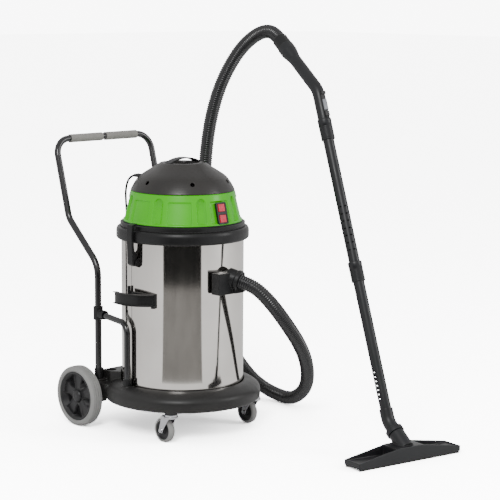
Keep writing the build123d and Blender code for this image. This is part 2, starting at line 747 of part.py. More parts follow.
def make_wand():
    """Bent handle, two push-fit tubes, elbow with its swivel ring, suction slider and the hose's end cuff."""
    bore_in = wand_r - wand_wall
    with BuildPart() as lower:
        bar(wand_plane(-23), 440, wand_r)
        bar(wand_plane(412), 58, sleeve_r)
        bore(wand_plane(-24), 500, bore_in)
        bore(wand_plane(430), 45, wand_r + 0.05)
    with BuildPart() as upper:
        bar(wand_plane(430.2), 484, wand_r)
        bore(wand_plane(430), 490, bore_in)
    start = wand_plane(918).origin
    knee, top = along(bend_at), along(swivel_at)
    with BuildPart() as handle:
        add(swept_tube([start, knee, top], [70], grip_r, 0).part)
        bar(wand_plane(878), 63, sleeve_r)
        with BuildSketch(swivel_plane(-64)):
            Circle(grip_r)
        with BuildSketch(swivel_plane(-26)):
            Circle(27)
        loft()
        bar(swivel_plane(-26), 26, 27)
        bore(wand_plane(877), 38, wand_r + 0.05)
        bore(swivel_plane(-25), 30, 24.05)
        with BuildLine():
            hollow = FilletPolyline(wand_plane(910).origin, knee, swivel_plane(-20).origin, radius=70)
        with BuildSketch(Plane(origin=hollow @ 0, z_dir=hollow % 0)):
            Circle(grip_r - 3)
        sweep(mode=Mode.SUBTRACT)
    with BuildPart() as slider:
        base = wand_plane(968)
        outward = (along((-1, 0)) - along((0, 0))).normalized()
        face = Plane(origin=base.origin, x_dir=outward, z_dir=base.z_dir)
        with BuildSketch(face):
            with Locations((grip_r + 3.2, 0)):
                RectangleRounded(6, 15, 2)
        extrude(amount=34)
    with BuildPart() as elbow:
        add(swept_tube([along(ring_at), along(corner_at), along(elbow_top)], [60], sleeve_r, 0).part)
        bar(neck_plane(0), 16, 28.5)
        bore(wand_plane(-24), 25, wand_r + 0.05)
        bore(neck_plane(-1), 16, 18.05)
        with BuildLine():
            inside = FilletPolyline(neck_plane(10).origin, along(corner_at), wand_plane(-20).origin, radius=60)
        with BuildSketch(Plane(origin=inside @ 0, z_dir=inside % 0)):
            Circle(bore_in - 1)
        sweep(mode=Mode.SUBTRACT)
    with BuildPart() as cuff:
        bar(swivel_plane(-24.5), 30, 24)
        bar(swivel_plane(0.3), 39.7, 25.5)
        bore(swivel_plane(-26), 70, 20)
    return lower, upper, handle, slider, elbow, cuff


def make_floor_tool():
    """Wide floor tool with two top pockets, a suction mouth, its neck, and two rubber strips."""
    turn = math.radians(tool_turn)
    side_way, back_way = Vector(math.cos(turn), math.sin(turn), 0), Vector(-math.sin(turn), math.cos(turn), 0)

    def face(depth):
        return Plane(origin=along((depth, 0)), x_dir=side_way, z_dir=-back_way)

    half, deep = tool_len / 2, tool_depth / 2
    with BuildPart() as tool:
        with BuildSketch(face(deep)):
            Polygon(
                (-half, 7), (half, 7), (half, tool_low), (42, tool_high), (-42, tool_high),
                (-half, tool_low), align=None,
            )
        extrude(amount=tool_depth)
        bar(neck_plane(-62), 61.5, neck_r)
        bar(neck_plane(-10), 24, 18)
        for side in (-1, 1):
            with BuildSketch(face(deep - 6)):
                Polygon(
                    (side * 54, 60), (side * 54, 17.5), (side * (half - 6), 20.5), (side * (half - 6), 60),
                    align=None,
                )
            extrude(amount=tool_depth - 12, mode=Mode.SUBTRACT)
        with BuildSketch(face(deep - 8)):
            with Locations((0, 7)):
                Rectangle(tool_len - 12, 16)
        extrude(amount=tool_depth - 16, mode=Mode.SUBTRACT)
        bore(neck_plane(-58), 90, 15)
    with BuildPart() as strips:
        for depth in (deep - 2, 6 - deep):
            with BuildSketch(face(depth)):
                with Locations((0, 3.5)):
                    Rectangle(tool_len - 8, 7)
            extrude(amount=4)
    return tool, strips


def make_cords():
    """Hose, mains lead, the neat coil that the lead ends in, and its plug."""
    hose_radii = bend_radii(hose_route, "hose")
    hose = swept_tube(hose_route, hose_radii, hose_r, 0)
    check_tube(hose, hose_route, hose_radii, hose_r, "hose")
    cord_radii = bend_radii(cord_route, "cord")
    cord = swept_tube(cord_route, cord_radii, cord_r, 0)
    check_tube(cord, cord_route, cord_radii, cord_r, "cord")
    with BuildPart() as coil:
        with BuildSketch(Plane.XZ.offset(-coil_y)):
            with Locations((coil_x + coil_mean_r, coil_h / 2)):
                RectangleRounded(coil_w, coil_h, 5)
        revolve(axis=Axis((coil_x, coil_y, 0), (0, 0, 1)))
    plug_x, plug_z, tail_y = coil_x - coil_mean_r, coil_h + plug_r, coil_y + 34
    with BuildPart() as plug:
        with BuildSketch(Plane.XZ.offset(-tail_y)):
            with Locations((plug_x, plug_z)):
                Circle(7)
        extrude(amount=16)
        with BuildSketch(Plane.XZ.offset(16 - tail_y)):
            with Locations((plug_x, plug_z)):
                Circle(plug_r)
        extrude(amount=34)
        with BuildSketch(Plane.XZ.offset(50 - tail_y)):
            for pin in (-9.5, 9.5):
                with Locations((plug_x + pin, plug_z)):
                    Circle(2.4)
        extrude(amount=19)
    return hose, cord, coil, plug


def make_relief():
    """Tapered strain relief where the lead leaves the dome."""
    with BuildPart() as relief:
        with BuildSketch(relief_plane(-32)):
            Circle(6)
        extrude(amount=16)
        with BuildSketch(relief_plane(-17)):
            Circle(7.5)
        with BuildSketch(relief_plane(0)):
            Circle(5)
        loft()
    return relief


os.makedirs("parts", exist_ok=True)

save(make_deck(), "trolley_deck")
save(make_axle(), "rear_axle")
save(make_caster_stems(), "caster_stems")
for side, word in ((-1, "left"), (1, "right")):
    wheel_tyre, wheel_hub = make_rear_wheel(side)
    save(wheel_tyre, f"wheel_tyre_{word}")
    save(wheel_hub, f"wheel_hub_{word}")
    for piece, name in zip(make_caster(side), ("fork", "pin", "tyre", "hub")):
        save(piece, f"caster_{name}_{word}")
    save(make_latch(side), f"latch_lever_{word}")
save(make_latch_brackets(), "latch_brackets")

push_handle, grips, braces, clamps, sockets = make_handle_parts()
save(push_handle, "push_handle")
save(clamps, "brace_clamps")
save(sockets, "tube_sockets")
for grip, brace, word in zip(grips, braces, ("left", "right")):
    save(grip, f"handle_grip_{word}")
    save(brace, f"brace_{word}")

for piece, name in zip(make_tank(), ("tank", "tank_collar")):
    save(piece, name)
for piece, name in zip(make_inlet(), ("inlet_block", "inlet_badge", "inlet_deflector", "inlet_cuff")):
    save(piece, name)
save(make_holder(), "accessory_holder")

for piece, name in zip(make_head(), ("head_flange", "head_gasket", "shroud_ring", "dome", "carry_strap")):
    save(piece, name)
switch_bezel, rockers = make_switches()
save(switch_bezel, "switch_bezel")
for rocker, word in zip(rockers, ("lower", "upper")):
    save(rocker, f"rocker_{word}")
motors, foam, screws, cage, ball, basket = make_insides()
for motor, word in zip(motors, ("left", "right")):
    save(motor, f"motor_{word}")
for piece, name in (
    (foam, "foam_ring"), (screws, "flange_screws"), (cage, "float_cage"), (ball, "float"),
    (basket, "filter_basket"), (make_relief(), "strain_relief"),
):
    save(piece, name)

wand_names = ("wand_tube_lower", "wand_tube_upper", "wand_handle", "suction_slider", "wand_elbow", "wand_cuff")
for piece, name in zip(make_wand(), wand_names):
    save(piece, name)
for piece, name in zip(make_floor_tool(), ("floor_tool", "squeegee_strips")):
    save(piece, name)
for piece, name in zip(make_cords(), ("hose", "power_cord", "cord_coil", "power_plug")):
    save(piece, name)
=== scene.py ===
import json
import math

import bmesh
import bpy
from mathutils import Matrix, Vector


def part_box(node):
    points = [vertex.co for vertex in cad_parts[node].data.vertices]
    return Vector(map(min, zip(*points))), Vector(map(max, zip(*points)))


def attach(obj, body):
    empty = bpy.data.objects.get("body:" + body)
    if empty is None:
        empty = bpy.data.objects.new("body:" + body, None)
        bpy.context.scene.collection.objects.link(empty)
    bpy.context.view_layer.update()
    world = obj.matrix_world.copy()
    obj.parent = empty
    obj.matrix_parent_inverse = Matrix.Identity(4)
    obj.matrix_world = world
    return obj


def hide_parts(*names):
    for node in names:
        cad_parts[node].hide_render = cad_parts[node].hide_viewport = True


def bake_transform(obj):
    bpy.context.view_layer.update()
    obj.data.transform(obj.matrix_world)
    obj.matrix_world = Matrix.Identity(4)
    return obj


# A wet and dry vacuum cleaner on a pale floor. Lengths are metres in the CAD model's frame, apart from the
# two cord routes, which repeat the CAD model's points in millimetres from the drum's axis.

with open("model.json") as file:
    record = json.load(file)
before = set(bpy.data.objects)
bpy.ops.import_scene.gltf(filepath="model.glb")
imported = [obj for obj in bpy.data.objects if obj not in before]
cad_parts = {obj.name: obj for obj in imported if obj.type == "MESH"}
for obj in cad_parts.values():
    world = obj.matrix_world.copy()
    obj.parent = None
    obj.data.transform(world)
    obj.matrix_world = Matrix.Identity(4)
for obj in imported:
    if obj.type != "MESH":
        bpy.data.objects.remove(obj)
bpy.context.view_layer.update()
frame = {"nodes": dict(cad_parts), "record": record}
nodes = frame["nodes"]
joints = {joint["name"]: joint for joint in frame["record"]["behaviour"]["joints"]}


def node_middle(*names):
    """The middle of the box that holds these CAD nodes."""
    lows, highs = zip(*(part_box(name) for name in names))
    low = Vector(min(corner[k] for corner in lows) for k in range(3))
    high = Vector(max(corner[k] for corner in highs) for k in range(3))
    return (low + high) / 2


SIDES = ((-1, "left"), (1, "right"))

# The drum's axis is the origin of every place below that is given by a radius and a height.
drum = node_middle("tank")
drum.z = 0.0
tank_r = (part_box("tank")[1].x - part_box("tank")[0].x) / 2


# ---------------------------------------------------------------- camera
def add_camera():
    """Long lens, a little above the machine, looking at its front left quarter."""
    turn, dip, roll = math.radians(-44.0), math.radians(8.62), math.radians(0.37)
    distance, lens, target = 5.6285, 123.8, Vector((0.0803, 0.0592, 0.5906))
    look = Vector((-math.sin(turn) * math.cos(dip), math.cos(turn) * math.cos(dip), -math.sin(dip)))
    level = Vector((math.cos(turn), math.sin(turn), 0))
    above = level.cross(look)
    aside = math.cos(roll) * level + math.sin(roll) * above
    upright = math.cos(roll) * above - math.sin(roll) * level
    camera = bpy.data.objects.new("camera", bpy.data.cameras.new("camera"))
    bpy.context.collection.objects.link(camera)
    camera.data.lens, camera.data.sensor_width = lens, 36
    camera.data.clip_end = 60
    turning = Matrix((aside, upright, -look)).transposed().to_4x4()
    camera.matrix_world = Matrix.Translation(target - distance * look) @ turning
    bpy.context.scene.camera = camera


add_camera()


# ---------------------------------------------------------------- materials
def new_material(name):
    """A material with one principled shader, and the object's own coordinates to paint it by."""
    material = bpy.data.materials.new(name)
    material.use_nodes = True
    tree = material.node_tree
    tree.nodes.clear()
    out = tree.nodes.new("ShaderNodeOutputMaterial")
    shader = tree.nodes.new("ShaderNodeBsdfPrincipled")
    tree.links.new(shader.outputs[0], out.inputs[0])
    place = tree.nodes.new("ShaderNodeTexCoord")
    return material, tree, shader, place.outputs["Object"]


def noise(tree, place, scale, detail=4.0, rough=0.55, stretch=None):
    """Noise over the object's own coordinates, stretched along an axis if asked."""
    if stretch:
        mapping = tree.nodes.new("ShaderNodeMapping")
        mapping.inputs["Scale"].default_value = stretch
        tree.links.new(place, mapping.inputs["Vector"])
        place = mapping.outputs[0]
    texture = tree.nodes.new("ShaderNodeTexNoise")
    texture.inputs["Scale"].default_value = scale
    texture.inputs["Detail"].default_value = detail
    texture.inputs["Roughness"].default_value = rough
    tree.links.new(place, texture.inputs["Vector"])
    return texture.outputs["Fac"]


def spread(tree, value, low, high, from_low=0.3, from_high=0.7):
    """A texture's values mapped to a range."""
    ranged = tree.nodes.new("ShaderNodeMapRange")
    ranged.inputs["From Min"].default_value, ranged.inputs["From Max"].default_value = from_low, from_high
    ranged.inputs["To Min"].default_value, ranged.inputs["To Max"].default_value = low, high
    tree.links.new(value, ranged.inputs["Value"])
    return ranged.outputs[0]


def two_tone(tree, value, first, second):
    """A colour that runs from first to second with a value."""
    ramp = tree.nodes.new("ShaderNodeValToRGB")
    ramp.color_ramp.elements[0].position, ramp.color_ramp.elements[1].position = 0.32, 0.68
    ramp.color_ramp.elements[0].color = (*first, 1)
    ramp.color_ramp.elements[1].color = (*second, 1)
    tree.links.new(value, ramp.inputs[0])
    return ramp.outputs[0]


def add_bump(tree, shader, height, strength, distance, before=None):
    """Bump from a texture's values, on top of an earlier bump if there is one."""
    bump = tree.nodes.new("ShaderNodeBump")
    bump.inputs["Strength"].default_value = strength
    bump.inputs["Distance"].default_value = distance
    tree.links.new(height, bump.inputs["Height"])
    if before:
        tree.links.new(before, bump.inputs["Normal"])
    tree.links.new(bump.outputs[0], shader.inputs["Normal"])
    return bump.outputs[0]


def shade(colour, factor):
    return tuple(min(1.0, channel * factor) for channel in colour)


def moulded(name, colour, rough, grain=2600.0, depth=0.00006, coat=0.0, vary=0.14, specular=0.5):
    """Moulded plastic: fine spark-eroded grain, faint flow marks, and roughness that varies with handling."""
    material, tree, shader, place = new_material(name)
    tone = noise(tree, place, 9, 3)
    shades = two_tone(tree, tone, shade(colour, 1 - vary), shade(colour, 1 + vary))
    tree.links.new(shades, shader.inputs["Base Color"])
    handled = noise(tree, place, 26, 5, 0.65)
    tree.links.new(spread(tree, handled, rough - 0.06, rough + 0.08), shader.inputs["Roughness"])
    fine = add_bump(tree, shader, noise(tree, place, grain, 2), 0.35, depth)
    add_bump(tree, shader, noise(tree, place, 14, 2), 0.12, 0.0006, fine)
    shader.inputs["Coat Weight"].default_value = coat
    shader.inputs["Coat Roughness"].default_value = 0.12
    shader.inputs["Specular IOR Level"].default_value = specular
    return material


def plated(name, colour, rough, streak=(1.0, 1.0, 1.0), grain=420.0, depth=0.00004, spots=0.05):
    """Bare or plated metal with drawn or rolled streaks and faint fingerprints."""
    material, tree, shader, place = new_material(name)
    shader.inputs["Metallic"].default_value = 1.0
    tone = noise(tree, place, 6, 4, 0.6)
    shades = two_tone(tree, tone, shade(colour, 0.94), shade(colour, 1.04))
    tree.links.new(shades, shader.inputs["Base Color"])
    lines = noise(tree, place, grain, 3, 0.6, streak)
    tree.links.new(spread(tree, lines, rough, rough + spots), shader.inputs["Roughness"])
    fine = add_bump(tree, shader, lines, 0.25, depth)
    add_bump(tree, shader, noise(tree, place, 4.5, 2), 0.1, 0.0008, fine)
    return material


def soft_rubber(name, colour, rough, grain=900.0, depth=0.00015, dust=0.25):
    """Rubber or foam: matt, finely pitted, with dusty patches."""
    material, tree, shader, place = new_material(name)
    dusty = noise(tree, place, 34, 6, 0.7)
    shades = two_tone(tree, dusty, shade(colour, 1 - dust), shade(colour, 1 + dust))
    tree.links.new(shades, shader.inputs["Base Color"])
    tree.links.new(spread(tree, dusty, rough - 0.08, rough + 0.08), shader.inputs["Roughness"])
    add_bump(tree, shader, noise(tree, place, grain, 4, 0.7), 0.6, depth)
    return material


looks = {
    "deck_plastic": moulded("deck_plastic", (0.014, 0.0135, 0.013), 0.38, 1500, 0.0001, specular=0.42),
    "hub_plastic": moulded("hub_plastic", (0.012, 0.012, 0.013), 0.36),
    "grey_tyre": soft_rubber("grey_tyre", (0.27, 0.27, 0.262), 0.62, 700, 0.0002, 0.08),
    "zinc_steel": plated("zinc_steel", (0.62, 0.62, 0.64), 0.22, (1, 1, 8)),
    "black_tube": moulded("black_tube", (0.006, 0.006, 0.007), 0.2, 900, 0.00005, 0.5),
    "grey_grip": soft_rubber("grey_grip", (0.26, 0.252, 0.235), 0.7, 1500, 0.0004, 0.1),
    "stainless": plated("stainless", (0.72, 0.69, 0.655), 0.06, (1, 1, 0.02), 300, 0.00001, 0.03),
    "weld_line": plated("weld_line", (0.2, 0.19, 0.18), 0.3),
    "black_plastic": moulded("black_plastic", (0.007, 0.007, 0.0075), 0.36, specular=0.36),
    "green_plastic": moulded("green_plastic", (0.055, 0.47, 0.0), 0.3, 3000, 0.00002, 0.12, 0.04, 0.3),
    "dome_plastic": moulded("dome_plastic", (0.019, 0.017, 0.0155), 0.34, 2200, 0.00008, specular=0.5),
    "red_switch": moulded("red_switch", (0.62, 0.02, 0.05), 0.22, 3000, 0.00002, 0.5, 0.05),
    "hose_rubber": moulded("hose_rubber", (0.007, 0.007, 0.008), 0.25, 1800, 0.00005, 0.3),
    "wand_plastic": moulded("wand_plastic", (0.0115, 0.012, 0.0135), 0.36, 2400, 0.00008, specular=0.4),
    "slider_grey": moulded("slider_grey", (0.2, 0.21, 0.23), 0.4),
    "strip_rubber": soft_rubber("strip_rubber", (0.014, 0.014, 0.014), 0.6),
    "motor_metal": plated("motor_metal", (0.5, 0.5, 0.52), 0.35),
    "foam": soft_rubber("foam", (0.05, 0.05, 0.055), 0.9, 400, 0.001),
    "gasket_rubber": soft_rubber("gasket_rubber", (0.02, 0.02, 0.02), 0.6),
    "filter_fabric": soft_rubber("filter_fabric", (0.6, 0.56, 0.48), 0.85, 600, 0.0006, 0.08),
    "float_plastic": moulded("float_plastic", (0.7, 0.12, 0.02), 0.35),
    "cage_plastic": moulded("cage_plastic", (0.06, 0.06, 0.065), 0.4),
    "lead_rubber": moulded("lead_rubber", (0.01, 0.01, 0.011), 0.42, 1500, 0.00008),
}

for entry in frame["record"]["subparts"]:
    cad = nodes[entry["node"]]
    cad.data.materials.clear()
    cad.data.materials.append(looks[entry["material_slot"]])


# ---------------------------------------------------------------- mesh helpers
def finish_piece(obj, body, slot, stands_for=()):
    """Give a new piece its look, its body and the CAD nodes that it stands for."""
    if not obj.data.materials:
        obj.data.materials.append(looks[slot])
    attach(obj, body)
    if stands_for:
        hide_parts(*stands_for)
    return obj


def shade_faces(mesh, smooth):
    for polygon in mesh.polygons:
        polygon.use_smooth = smooth


def mesh_piece(name, points, faces):
    """A smooth-shaded object made from points and faces."""
    mesh = bpy.data.meshes.new(name)
    mesh.from_pydata([tuple(point) for point in points], [], faces)
    mesh.validate()
    shade_faces(mesh, True)
    obj = bpy.data.objects.new(name, mesh)
    bpy.context.collection.objects.link(obj)
    return obj


def grid_faces(rows, columns, wrap_rows=False, wrap_columns=True):
    """Quads between rows of points that each have the same number of columns."""
    faces = []
    for row in range(rows if wrap_rows else rows - 1):
        for column in range(columns if wrap_columns else columns - 1):
            here, there = row * columns, ((row + 1) % rows) * columns
            beside = (column + 1) % columns
            faces.append((here + column, here + beside, there + beside, there + column))
    return faces


def path_frames(path):
    """Upright frames along a path that turn no more than it does."""
    ways = []
    for k, point in enumerate(path):
        ahead, behind = path[min(k + 1, len(path) - 1)], path[max(k - 1, 0)]
        ways.append((ahead - behind).normalized())
    side = ways[0].orthogonal().normalized()
    frames = []
    for k, way in enumerate(ways):
        side = (side - way * side.dot(way)).normalized()
        frames.append((path[k], side, way.cross(side)))
    return frames


def tube_mesh(name, path, radius, steps):
    """A closed tube along a path. radius is a number, or a function of the distance along."""
    frames, points, run = path_frames(path), [], 0.0
    for k, (centre, side, up) in enumerate(frames):
        if k:
            run += (path[k] - path[k - 1]).length
        r = radius(run) if callable(radius) else radius
        for step in range(steps):
            angle = 2 * math.pi * step / steps
            points.append(centre + r * (math.cos(angle) * side + math.sin(angle) * up))
    last = (len(path) - 1) * steps
    faces = grid_faces(len(path), steps)
    faces += [tuple(reversed(range(steps))), tuple(range(last, last + steps))]
    return mesh_piece(name, points, faces)


def spline_path(name, points):
    """A smooth NURBS curve with these control points, and the points read from it."""
    data = bpy.data.curves.new(name, "CURVE")
    data.dimensions = "3D"
    spline = data.splines.new("NURBS")
    spline.points.add(len(points) - 1)
    for target, point in zip(spline.points, points):
        target.co = (*point, 1)
    spline.order_u = 3
    spline.use_endpoint_u = True
    spline.resolution_u = 24
    holder = bpy.data.objects.new(name, data)
    bpy.context.collection.objects.link(holder)
    bpy.context.view_layer.update()
    evaluated = holder.evaluated_get(bpy.context.evaluated_depsgraph_get())
    mesh = bpy.data.meshes.new_from_object(evaluated)
    read = [vertex.co.copy() for vertex in mesh.vertices]
    bpy.data.meshes.remove(mesh)
    bpy.data.objects.remove(holder)
    bpy.data.curves.remove(data)
    return read


def path_length(path):
    return sum((b - a).length for a, b in zip(path, path[1:]))


def evenly(path, gap):
    """Points at even distances along a path."""
    total = path_length(path)
    count = max(2, round(total / gap))
    spacing, result, run, target = total / count, [path[0].copy()], 0.0, total / count
    for a, b in zip(path, path[1:]):
        length = (b - a).length
        while length > 0 and run + length >= target - 1e-9 and len(result) < count:
            result.append(a.lerp(b, (target - run) / length))
            target += spacing
        run += length
    result.append(path[-1].copy())
    return result


def millimetres(points):
    """Places that are given in millimetres from the drum's axis, in the frame's metres."""
    return [drum + Vector(point) / 1000 for point in points]


# ---------------------------------------------------------------- hose and mains lead
hose_route = [
    (23.9, -249, 514.1), (43, -286, 502), (69, -314, 470), (106, -329, 424), (157, -330, 366),
    (220, -317, 302), (284, -289, 235), (343, -245, 163), (394, -187, 103), (434, -120, 57),
    (461, -48, 24.5), (470, 27, 24.5), (463, 93, 42), (439, 139, 84), (401, 160, 142),
    (355, 166, 213), (315, 166, 298), (284, 164, 396), (262, 162, 505), (248, 158, 618),
    (238, 155, 730), (236, 151, 838), (243, 145, 938), (257, 136, 1028), (277, 121, 1110),
    (299, 96, 1180), (318, 61, 1239), (330, 12, 1280), (333, -41, 1299), (329.5, -87.7, 1292),
    (324.9, -116.3, 1270.7),
]
lead_route = [
    (-114, 110, 834), (-121, 121, 829), (-119, 140, 808), (-106, 163, 775), (-84, 187, 735),
    (-62, 210, 690), (-44, 228, 635), (-30, 237, 570), (-14, 244, 490), (2, 254, 400),
    (19, 270, 315), (37, 291, 240), (57, 312, 172), (79, 332, 106), (104, 348, 50),
    (140, 358, 12), (184, 357, 4), (224, 354, 4), (262, 355, 4),
]


def make_hose():
    """Ribbed suction hose: a rib every few millimetres along its smooth middle line."""
    rib, outer, groove = 0.0072, 0.023, 0.0205
    path = spline_path("hose_line", millimetres(hose_route))
    fine = evenly(path, rib / 6)

    def radius(run):
        wave = 0.5 + 0.5 * math.cos(2 * math.pi * run / rib)
        return groove + (outer - groove) * wave ** 0.6

    hose = tube_mesh("hose_ribbed", fine, radius, 28)
    finish_piece(hose, "trolley", "hose_rubber", ["hose"])


# The coil's turns, from the middle of the innermost to the middle of the outermost.
COIL_INNER, COIL_OUTER = 0.0434, 0.0743


def coil_turns(centre, start_angle, end_angle, low):
    """Turns wound in four layers of four: inwards, outwards, and again, each layer lying on the last."""
    layers, turns, points_a_turn, layer_rise = 4, 4, 16, 0.0076
    sweep, result = end_angle - start_angle + 2 * math.pi * (layers * turns - 1), []
    count = round(sweep / (2 * math.pi) * points_a_turn)
    for k in range(1, count + 1):
        share = layers * k / count
        layer = min(layers - 1, int(share))
        across = share - layer
        inward = across if layer % 2 == 0 else 1 - across
        spiral_r = COIL_OUTER + (COIL_INNER - COIL_OUTER) * inward
        rise = layer + (smooth_step(across, 0.94, 1.0) if layer < layers - 1 else 0)
        angle = start_angle + sweep * k / count
        x, y = centre.x + spiral_r * math.cos(angle), centre.y + spiral_r * math.sin(angle)
        result.append(Vector((x, y, low + layer_rise * rise)))
    return result


def make_plug(tail):
    """Round moulded plug with a ribbed tail and two pins, lying on the coil and pointing to the front."""
    way, zero = Vector((0, -1, 0)), Vector((0, 0, 1))
    rib_pitch, groove_r = 0.0034, 0.0044
    profile = [(0.0003, 0.0), (0.0046, 0.0), (0.0050, 0.0008)]
    for k in range(4):
        at, rib_r = 0.002 + rib_pitch * k, 0.0052 + 0.0004 * k
        profile += [(rib_r, at), (rib_r, at + 0.0018), (groove_r, at + 0.002), (groove_r, at + 0.0032)]
    profile += [(0.0075, 0.0165), (0.012, 0.018), (0.0165, 0.0225), (0.0178, 0.028), (0.0178, 0.034)]
    profile += [(0.0168, 0.0352), (0.0168, 0.0388), (0.0178, 0.04), (0.0178, 0.0485)]
    profile += [(0.0165, 0.05), (0.0003, 0.05)]
    plug = turned("mains_plug", profile, tail, (way, zero), 64)
    finish_piece(plug, "trolley", "lead_rubber", ["power_plug"])
    pins, pin_gap, pin_foot = [], 0.019, 0.0495
    pin = [(0.0002, 0.0), (0.0024, 0.0), (0.0024, 0.0172), (0.0019, 0.0188), (0.0008, 0.0194)]
    pin += [(0.0002, 0.0194)]
    for side, word in SIDES:
        place = tail + way * pin_foot + Vector((side * pin_gap / 2, 0, 0))
        piece = turned(f"plug_pin_{word}", pin, place, (way, zero), 24)
        pins.append(finish_piece(piece, "trolley", "zinc_steel"))
    return [plug] + pins


def make_coil_tie(name, centre, angle):
    """Hook-and-loop band round all the turns of the coil at one place."""
    out = Vector((math.cos(angle), math.sin(angle), 0))
    along = Vector((-out.y, out.x, 0))
    middle_r, half_w, half_h, band_half, band_thick = 0.058, 0.0196, 0.0157, 0.007, 0.0007
    points, outline, corner_r, steps = [], [], 0.004, 6
    for cx, cz, turn in ((1, 1, 0), (-1, 1, 90), (-1, -1, 180), (1, -1, 270)):
        for step in range(steps + 1):
            a = math.radians(turn + 90 * step / steps)
            u = cx * (half_w - corner_r) + corner_r * math.cos(a)
            outline.append((u, cz * (half_h - corner_r) + corner_r * math.sin(a)))
    edges = ((-band_half, 0.0), (-band_half, band_thick), (band_half, band_thick), (band_half, 0.0))
    for off, thick in edges:
        for u, v in outline:
            reach = middle_r + u * (1 + thick / half_w)
            z = half_h + v * (1 + thick / half_h)
            points.append(Vector((centre.x, centre.y, max(z, 0.0001))) + out * reach + along * off)
    tie = mesh_piece(name, points, grid_faces(4, len(outline), wrap_rows=True))
    return finish_piece(tie, "trolley", "strip_rubber")


def make_lead():
    """Mains lead: down from the head's strain relief, along the floor, into its tied coil, to the plug."""
    diameter = 0.0075
    centre = node_middle("cord_coil")
    plug_low, plug_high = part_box("power_plug")
    tail = Vector(((plug_low.x + plug_high.x) / 2, plug_high.y, (plug_low.z + plug_high.z) / 2))
    route = millimetres(lead_route)
    start_angle = math.atan2(route[-1].y - centre.y, route[-1].x - centre.x)
    leave_angle = math.radians(80)
    route += coil_turns(centre, start_angle, leave_angle + 2 * math.pi, 0.0041)
    top, last = route[-1], tail - centre
    tail_angle, tail_r = math.atan2(last.y, last.x), math.hypot(last.x, last.y)
    for share in (0.2, 0.4, 0.6, 0.8):
        angle = leave_angle + (tail_angle - leave_angle) * share
        ring = COIL_OUTER + (tail_r - COIL_OUTER) * share
        rise = top.z + (tail.z - top.z) * smooth_step(share, 0, 1)
        x, y = centre.x + ring * math.cos(angle), centre.y + ring * math.sin(angle)
        route.append(Vector((x, y, rise)))
    route.append(tail + Vector((0, -0.001, 0)))
    path = spline_path("lead_line", route)
    lead = tube_mesh("mains_lead", path, diameter / 2, 12)
    lead.data.materials.append(looks["lead_rubber"])
    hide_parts("power_cord", "cord_coil")
    x, y, still_below, head_above = path[0].x, path[0].y, 0.05, 0.80
    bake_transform(lead)
    others = make_plug(tail)
    make_coil_tie("coil_tie_front", centre, math.radians(215))
    make_coil_tie("coil_tie_rear", centre, math.radians(20))


# ---------------------------------------------------------------- turned pieces
def turned(name, profile, centre, turning, steps, reach=None):
    """A closed profile of (radius, along) points turned about an axis through centre.

    turning holds the axis and the direction of angle zero. reach(radius, along, angle, index) may move a
    point of the profile at an angle.
    """
    way, zero = (Vector(v).normalized() for v in turning)
    across = way.cross(zero)
    points = []
    for index, (r, along) in enumerate(profile):
        for step in range(steps):
            angle = 2 * math.pi * step / steps
            here, up = (r, along) if reach is None else reach(r, along, angle, index)
            points.append(centre + way * up + here * (math.cos(angle) * zero + math.sin(angle) * across))
    return mesh_piece(name, points, grid_faces(len(profile), steps, wrap_rows=True))


def rounded(profile, r, steps):
    """A closed profile with each corner rounded by up to r."""
    result = []
    count = len(profile)
    for k in range(count):
        before, here, after = (Vector(profile[(k + d) % count]) for d in (-1, 0, 1))
        back, ahead = before - here, after - here
        cut = min(r, 0.4 * back.length, 0.4 * ahead.length)
        first, last = here + back.normalized() * cut, here + ahead.normalized() * cut
        for step in range(steps + 1):
            t = step / steps
            result.append(((1 - t) ** 2) * first + 2 * t * (1 - t) * here + t * t * last)
    return [(point.x, point.y) for point in result]


def smooth_step(value, low, high):
    t = min(1.0, max(0.0, (value - low) / (high - low)))
    return t * t * (3 - 2 * t)


UPRIGHT = ((0, 0, 1), (1, 0, 0))

make_hose()
make_lead()


# ---------------------------------------------------------------- moulded and pressed pieces
def keep_modified(obj, smooth):
    """Make what an object's modifiers do to it its own mesh."""
    evaluated = obj.evaluated_get(bpy.context.evaluated_depsgraph_get())
    mesh = bpy.data.meshes.new_from_object(evaluated)
    obj.modifiers.clear()
    obj.data = mesh
    shade_faces(mesh, smooth)
    return obj


def settled(obj, voxel, rounds, keep):
    """Remesh a closed shape evenly, soften its edges and thin out its flat areas, and keep the result."""
    remesh = obj.modifiers.new("remesh", "REMESH")
    remesh.mode, remesh.voxel_size = "VOXEL", voxel
    smooth = obj.modifiers.new("smooth", "SMOOTH")
    smooth.factor, smooth.iterations = 0.5, rounds
    thin = obj.modifiers.new("thin", "DECIMATE")
    thin.ratio = keep
    return keep_modified(obj, True)


def softened(name, node, body, voxel, rounds=5, keep=0.4, reshape=None):
    """A moulded copy of a CAD piece, with the rounded edges that a real moulding or pressing has.

    reshape(point) may move the copy's points a little first.
    """
    slot = next(entry["material_slot"] for entry in frame["record"]["subparts"] if entry["node"] == node)
    mesh = nodes[node].data.copy()
    mesh.materials.clear()
    obj = bpy.data.objects.new(name, mesh)
    bpy.context.collection.objects.link(obj)
    welded = bmesh.new()
    welded.from_mesh(mesh)
    bmesh.ops.remove_doubles(welded, verts=welded.verts, dist=1e-6)
    if reshape:
        for vertex in welded.verts:
            vertex.co = reshape(vertex.co)
    welded.to_mesh(mesh)
    welded.free()
    settled(obj, voxel, rounds, keep)
    obj.data.materials.clear()
    return finish_piece(obj, body, slot, [node])


